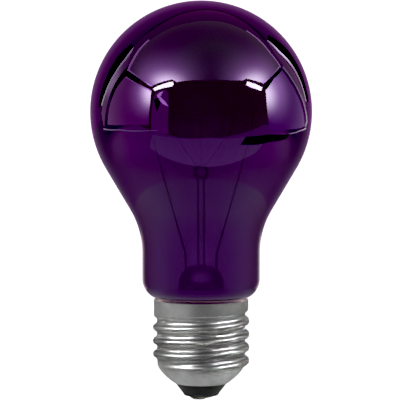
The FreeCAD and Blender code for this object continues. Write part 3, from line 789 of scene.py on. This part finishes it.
class Tent:
    """The light tent: panels round the lamp, placed where the globe mirrors them."""

    def __init__(self, studio, globe, lit):
        self.eye = Vector(studio.camera_place)
        self.view = aimed(studio.camera_place, studio.aim).to_3x3()
        self.scale = SENSOR / studio.lens / PICTURE
        self.radius = globe
        self.centre = Vector((0.0, 0.0, CAD_BOX[1].z - globe))
        self.lit = lit

    def mirrored(self, x, y, axis, wall):
        """The place on a wall that the globe shows at a point of the picture."""
        middle = PICTURE / 2
        look = self.view @ Vector(((x - middle) * self.scale, (middle - y) * self.scale, -1.0))
        look.normalize()
        offset = self.eye - self.centre
        along = offset.dot(look)
        away = -along - math.sqrt(along ** 2 - offset.length_squared + self.radius ** 2)
        touch = self.eye + look * away
        normal = (touch - self.centre) / self.radius
        bent = look - normal * (2 * look.dot(normal))
        return touch + bent * ((wall - touch[axis]) / bent[axis])

    def add(self, name, corners, *light, faces=None):
        """A light with a glow of its own."""
        return card(name, corners, glow(name, *light), self.lit, faces)

    def panel(self, name, outline, axis, wall, *light):
        """A flat light on a wall, given by its outline in the globe."""
        self.add(name, [self.mirrored(x, y, axis, wall) for x, y in outline], *light)


def roof_panels(tent):
    """The roof with its bright corners, the strips and lines beside it, and the dark behind."""
    tent.panel("roof", ROOF_OUTLINE, UP, ROOF, (0.46, 0.43, 0.39), 1.0,
               (((0.03, -0.14, ROOF), 0.06, 0.18, (0.2, 1.0, 0.1), 0.30),
                ((-0.150, -0.205, ROOF), 0.0, 0.150, FLASH, 12.0),
                ((-0.170, -0.195, ROOF), 0.0, 0.28, PALE, 2.8),
                ((0.225, -0.142, ROOF), 0.0, 0.150, FLASH, 11.0),
                ((0.235, -0.135, ROOF), 0.0, 0.28, PALE, 2.8)))
    tent.panel("strip_left", STRIP_LEFT, UP, ROOF, FLASH, 24.0)
    tent.panel("strip_right", STRIP_RIGHT, UP, ROOF, FLASH, 22.0)
    tent.panel("roof_line_left", ROOF_LINE_LEFT, UP, ROOF - STEP, (1.0, 0.75, 1.0), 1.5)
    tent.panel("roof_side_left", ROOF_SIDE_LEFT, UP, ROOF - STEP, PALE, 1.6,
               (((-0.25, -0.185, ROOF), 0.0, 0.12, WHITE, 5.0),))
    tent.panel("roof_side_right", ROOF_SIDE_RIGHT, UP, ROOF - STEP, PALE, 1.6,
               (((0.28, -0.106, ROOF), 0.0, 0.12, WHITE, 5.0),))
    tent.panel("roof_line_right", ROOF_LINE_RIGHT, UP, ROOF - STEP, (1.0, 0.75, 1.0), 1.7)
    tent.panel("roof_back", ROOF_BACK, UP, ROOF + 2 * STEP, (0.36, 0.18, 0.34), 1.0)
    tent.panel("dark_arc", DARK_ARC, UP, ROOF + 3 * STEP, SOFT, 0.18)


def left_panels(tent):
    """The left window, the bands outside it, and the gap between the window and the front."""
    tent.panel("dark_left", DARK_LEFT, ACROSS, -WALL, BLACK, 0.0)
    tent.panel("pale_left", PALE_LEFT, ACROSS, -WALL, WHITE, 1.4)
    tent.panel("left_band", LEFT_BAND, ACROSS, -WALL, SOFT, 0.6,
               (((-WALL, 0.090, 0.170), 0.0, 0.10, WHITE, 0.8),))
    tent.panel("left_window", LEFT_WINDOW, ACROSS, -WALL, (0.89, 0.55, 0.81), 1.0,
               (((-WALL, -0.205, 0.180), 0.0, 0.14, FLASH, 12.0),
                ((-WALL, -0.190, 0.180), 0.0, 0.22, PALE, 2.4)))
    tent.panel("window_top_left", WINDOW_TOP_LEFT, ACROSS, STEP - WALL, PALE, 1.3,
               (((-WALL, -0.203, 0.19), 0.0, 0.16, WHITE, 5.0),))
    tent.panel("left_gap", LEFT_GAP, ACROSS, -WALL, SOFT, 0.85)
    tent.panel("gap_dark", GAP_DARK, ACROSS, STEP - WALL, BLACK, 0.0)
    tent.panel("gap_light", GAP_LIGHT, ACROSS, STEP - WALL, PALE, 4.0)


def right_panels(tent):
    """The right window and the bands outside it."""
    tent.panel("dark_right", DARK_RIGHT, ACROSS, WALL, BLACK, 0.0)
    tent.panel("pale_right", PALE_RIGHT, ACROSS, WALL, PALE, 1.1,
               (((WALL, 0.19, 0.27), 0.0, 0.13, WHITE, 2.2),))
    tent.panel("right_band", RIGHT_BAND, ACROSS, WALL, SOFT, 0.5)
    tent.panel("right_line", RIGHT_LINE, ACROSS, WALL, WHITE, 0.9)
    tent.panel("right_window", RIGHT_WINDOW, ACROSS, WALL, (0.62, 0.38, 0.75), 1.0,
               (((WALL, -0.110, 0.150), 0.0, 0.13, FLASH, 11.0),
                ((WALL, -0.080, 0.170), 0.0, 0.22, PALE, 2.6)))


def wide_walls(tent):
    """The walls behind and before the lamp, and the table round its foot."""
    wall = rectangle(WIDE_HALF, WALL_FOOT, WALL_TOP)
    tent.add("back_wall", facing(BACK, *wall), DEEP, 0.28)
    tent.add("front_wall", facing(-BACK, *wall), (0.47, 0.42, 0.30), 1.0)
    table = rectangle(TABLE_HALF, GLOW_EDGE, BACK)
    tent.add("table_glow", level(-2 * SHEET, *table), (0.90, 0.58, 1.0), 0.21,
             (((0.0, -0.02, 0.0), 0.0, 0.17, SHADE, 0.52),
              ((-0.24, -0.12, 0.0), 0.10, 0.32, SOFT, 0.55),
              ((0.24, -0.12, 0.0), 0.10, 0.32, SOFT, 0.55)))


def band(*rims):
    """Corners and faces of a band round the lamp between two rims, each (radius, height)."""
    turns = [math.tau * (side / RING_SIDES - 0.25) for side in range(RING_SIDES)]
    corners = [(radius * math.cos(turn), radius * math.sin(turn), height)
               for radius, height in rims for turn in turns]
    after = [(side + 1) % RING_SIDES for side in range(RING_SIDES)]
    faces = [(side, after[side], after[side] + RING_SIDES, side + RING_SIDES)
             for side in range(RING_SIDES)]
    return corners, faces


def rings(tent):
    """The rings that light the neck and the foot of the glass.

    Spots a metre off fade evenly from the front of a ring to its back.
    """
    before, behind = (0.0, -1.0, 0.02), (0.0, 1.0, 0.02)
    corners, faces = band((COLLAR_RADIUS, 0.0), (COLLAR_RADIUS, COLLAR_TOP))
    tent.add("collar", corners, EDGE, 0.05,
             ((before, 0.975, 1.055, (0.52, 0.39, 0.46), 1.0),
              (behind, 0.973, 0.992, (0.56, 0.44, 0.52), 1.0),
              (before, 0.975, 1.020, (0.0, 1.0, 0.0), 0.26)), faces=faces)
    corners, faces = band((HEM_INSIDE, HEM_HEIGHT), (HEM_OUTSIDE, HEM_HEIGHT))
    tent.add("hem", corners, EDGE, 0.10,
             (((0.0, -1.0, 0.027), 0.975, 1.025, WHITE, 0.62),), faces=faces)


def table_panels(tent):
    """The pale patch, the dark wedge and the thin lines on the table."""
    tent.panel("table_front", TABLE_FRONT, UP, SHEET, WHITE, 0.85)
    tent.panel("table_wedge", TABLE_WEDGE, UP, 2 * SHEET, SHADE, 0.35)
    tent.panel("foot_line_left", FOOT_LINE_LEFT, UP, 2 * SHEET, WHITE, 1.2)
    tent.panel("foot_line_right", FOOT_LINE_RIGHT, UP, 2 * SHEET, WHITE, 1.3)


def through_lights(tent):
    """A soft pool of light on each side, seen only through the glass."""
    far = BACK - 0.01
    square = rectangle(far, -0.40, 0.40)
    for name, corners, middle, strength in (
            ("back_light", facing(far, *square), (0.0, far, 0.03), 2.05),
            ("front_light", facing(-far, *square), (0.0, -far, 0.03), 0.6),
            ("left_light", upright(-far, *square), (-far, 0.0, 0.03), 0.3),
            ("right_light", upright(far, *square), (far, 0.0, 0.03), 0.3)):
        pool = ((middle, POOL_FULL, POOL_END, WHITE, strength),)
        light = tent.add(name, corners, BLACK, 1.0, pool)
        light.visible_glossy = light.visible_diffuse = False
        light.visible_transmission = True


TENT_PARTS = (roof_panels, left_panels, right_panels, wide_walls, rings, table_panels,
              through_lights)


def soft_light(name, where, aim, size, brightness, lit):
    """A soft box that the metal mirrors and the camera doesn't see."""
    data = bpy.data.lights.new(name, "AREA")
    data.shape = "RECTANGLE"
    data.size, data.size_y = size
    data.energy = brightness * math.pi * size[0] * size[1]
    box = bpy.data.objects.new(name, data)
    bpy.context.scene.collection.objects.link(box)
    box.matrix_world = aimed(where, aim)
    data.cycles.use_multiple_importance_sampling = False
    box.visible_camera = False
    box.light_linking.receiver_collection = box.light_linking.blocker_collection = lit


def cap_lights(lit):
    """The softer lights that the metal mirrors."""
    aim = (0.0, 0.0, 0.018)
    for name, where, size, brightness in (
            ("left_soft", (-0.25, -0.02, 0.05), (0.24, 0.16), 0.50),
            ("right_soft", (0.25, 0.02, 0.05), (0.24, 0.16), 0.30),
            ("left_box", (-0.200, -0.115, 0.165), (0.30, 0.12), 6.2),
            ("right_box", (0.210, -0.080, 0.165), (0.30, 0.12), 4.5),
            ("roof_soft", (0.0, -0.05, 0.21), (0.3, 0.3), 0.04),
            ("front_soft", (0.0, -0.6, 0.1), (1.2, 0.6), 0.05),
            ("back_soft", (0.0, 0.5, 0.1), (1.2, 0.6), 0.28),
            ("table_soft", (0.0, 0.0, -0.05), (0.9, 0.5), 0.50)):
        soft_light(name, where, aim, size, brightness, lit)


def build_floor(settings):
    """A pale table under the lamp."""
    floor = Finish("table_paper", Roughness=0.6, IOR=1.4,
                   Emission_Color=(1.0, 1.0, 1.0, 1.0), Emission_Strength=settings.white)
    grain = floor.noise(900.0, 3.0)
    floor.feed(Base_Color=floor.ramp(grain, (0.3, (0.78, 0.78, 0.78)), (0.7, (0.84, 0.84, 0.84))))
    mesh = bpy.data.meshes.new("table")
    corners = level(-SHEET, *rectangle(TABLE_HALF, TABLE_EDGE, TABLE_HALF))
    mesh.from_pydata(corners, [], [(0, 1, 2, 3)])
    mesh.update()
    mesh.materials.append(floor.material)
    table = bpy.data.objects.new("table", mesh)
    bpy.context.scene.collection.objects.link(table)
    table.visible_glossy = table.visible_diffuse = table.visible_transmission = False
    table.visible_shadow = False
    table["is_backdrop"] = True


def build_camera(settings):
    """The camera, a little above the middle of the lamp."""
    data = bpy.data.cameras.new("camera")
    data.lens = settings.lens
    data.sensor_width = SENSOR
    data.clip_start, data.clip_end = 0.01, 10.0
    camera = bpy.data.objects.new("camera", data)
    bpy.context.scene.collection.objects.link(camera)
    camera.matrix_world = aimed(settings.camera_place, settings.aim)
    bpy.context.scene.camera = camera


def build_world(settings):
    """A white surround that only the camera sees, and the exposure."""
    scene = bpy.context.scene
    world = bpy.data.worlds.new("surround")
    scene.world = world
    world.use_nodes = True
    background = next(n for n in world.node_tree.nodes if n.type == "BACKGROUND")
    background.inputs["Color"].default_value = (1.0, 1.0, 1.0, 1.0)
    background.inputs["Strength"].default_value = settings.white
    seen = world.cycles_visibility
    seen.diffuse = seen.glossy = seen.transmission = seen.scatter = False
    view = scene.view_settings
    view.view_transform = "Standard"
    view.use_curve_mapping = True
    view.curve_mapping.black_level = (settings.black,) * 3
    view.curve_mapping.update()


class LAMP_OT_studio(bpy.types.Operator):
    """Set up the table, the light tent and the camera"""

    bl_idname = "lamp.studio"
    bl_label = "Studio"

    def execute(self, context):
        settings = context.scene.lamp_studio
        build_world(settings)
        build_floor(settings)
        cap = ("screw_shell", "base_insulator", "centre_contact", "centre_solder", "side_solder",
               "capping_cement", "rolled_shell")
        shown = {piece.name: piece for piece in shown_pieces()}
        glass = [piece for name, piece in shown.items() if name not in cap]
        metal = [piece for name, piece in shown.items() if name in cap]
        tent = Tent(settings, context.scene.lamp_glass.globe_radius,
                    receivers("glass_and_stem", *glass))
        for part in TENT_PARTS:
            part(tent)
        cap_lights(receivers("cap_and_base", *metal))
        build_camera(settings)
        return {"FINISHED"}


OPERATORS = (LAMP_OT_glass, LAMP_OT_shell, LAMP_OT_base, LAMP_OT_stem, LAMP_OT_wires,
             LAMP_OT_studio)


class LAMP_PT_sidebar(bpy.types.Panel):
    """The lamp's sizes and its operators"""

    bl_label = "Lamp"
    bl_idname = "LAMP_PT_sidebar"
    bl_space_type = "VIEW_3D"
    bl_region_type = "UI"
    bl_category = "Lamp"

    def draw(self, context):
        for operator in OPERATORS:
            self.layout.operator(operator.bl_idname)
        for name, group in SIZES.items():
            box = self.layout.box()
            box.label(text=group.__name__)
            for prop in group.__annotations__:
                box.prop(getattr(context.scene, name), prop)


CLASSES = (*SIZES.values(), *OPERATORS, LAMP_PT_sidebar)


def register():
    """Makes the sizes, the operators and the panel known."""
    for cls in CLASSES:
        bpy.utils.register_class(cls)
    for name, group in SIZES.items():
        setattr(bpy.types.Scene, name, bpy.props.PointerProperty(type=group))


def unregister():
    """Takes them away again."""
    for name in SIZES:
        delattr(bpy.types.Scene, name)
    for cls in reversed(CLASSES):
        bpy.utils.unregister_class(cls)


def main():
    """Builds the lamp and its studio."""
    register()
    for operator in OPERATORS:
        area, name = operator.bl_idname.split(".")
        getattr(getattr(bpy.ops, area), name)()


if __name__ == "__main__":
    main()
